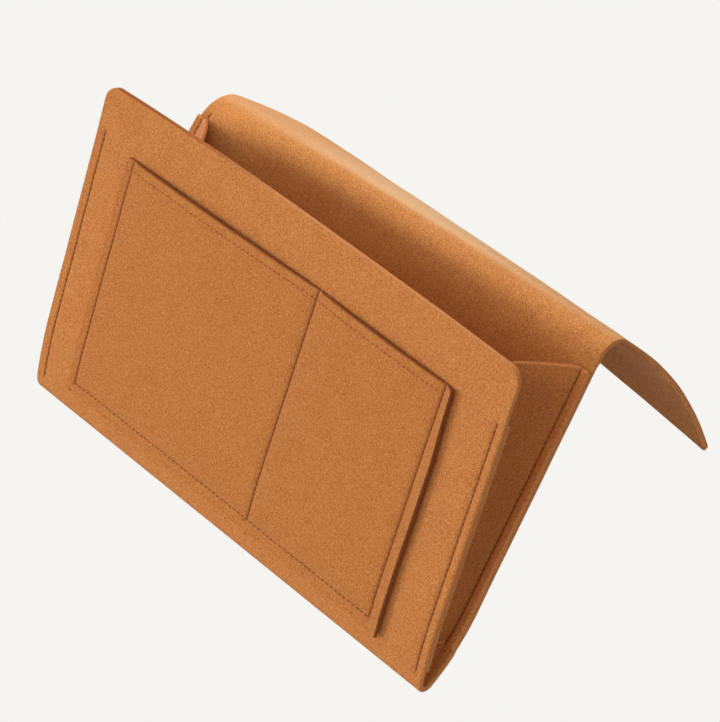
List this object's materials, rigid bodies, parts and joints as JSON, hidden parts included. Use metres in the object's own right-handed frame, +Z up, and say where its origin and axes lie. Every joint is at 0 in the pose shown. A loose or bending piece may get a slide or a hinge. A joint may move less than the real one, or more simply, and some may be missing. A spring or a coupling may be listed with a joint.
{
  "type": "bedside caddy",
  "caption": "Folded felt bedside caddy with V gussets, a divided flat front pocket and a tuck flap that goes under the mattress.",
  "frame": {"origin": "hollow side of the top bend at mid width, where the caddy hangs on the bed's edge", "axes": "+X along the width, +Y from the front wall to the tuck flap, +Z up"},
  "size_m": [0.3202, 0.2511, 0.2085],
  "materials": {
    "felt": "caramel wool felt, matt and fuzzy",
    "sewing_thread": "matt brown thread"
  },
  "bodies": {
    "back": {"back_panel": "felt", "bottom_fold": "felt", "top_bend": "felt", "left_gusset": "felt", "right_gusset": "felt", "left_back_seam_outside": "sewing_thread", "left_back_seam_inside": "sewing_thread", "right_back_seam_outside": "sewing_thread", "right_back_seam_inside": "sewing_thread"},
    "front": {"front_panel": "felt", "pocket_panel": "felt", "left_front_seam_outside": "sewing_thread", "left_front_seam_inside": "sewing_thread", "right_front_seam_outside": "sewing_thread", "right_front_seam_inside": "sewing_thread", "pocket_seam_outside": "sewing_thread", "pocket_seam_inside": "sewing_thread", "divider_seam_outside": "sewing_thread", "divider_seam_inside": "sewing_thread", "pocket_hem_stitch": "sewing_thread"},
    "flap": {"tuck_flap": "felt"}
  },
  "joints": [
    {"name": "front_open", "type": "hinge", "parent": "back", "child": "front", "pos_m": [0, -0.03126, -0.18966], "axis": [1, 0, 0], "range_deg": [-12, 9], "deforming": ["bottom_fold", "left_gusset", "right_gusset"]},
    {"name": "flap_fold", "type": "hinge", "parent": "back", "child": "flap", "pos_m": [0, -0.00099, 0.00125], "axis": [0.9951, -0.0798, 0.0586], "range_deg": [-55, 95], "deforming": ["top_bend"]}
  ]
}
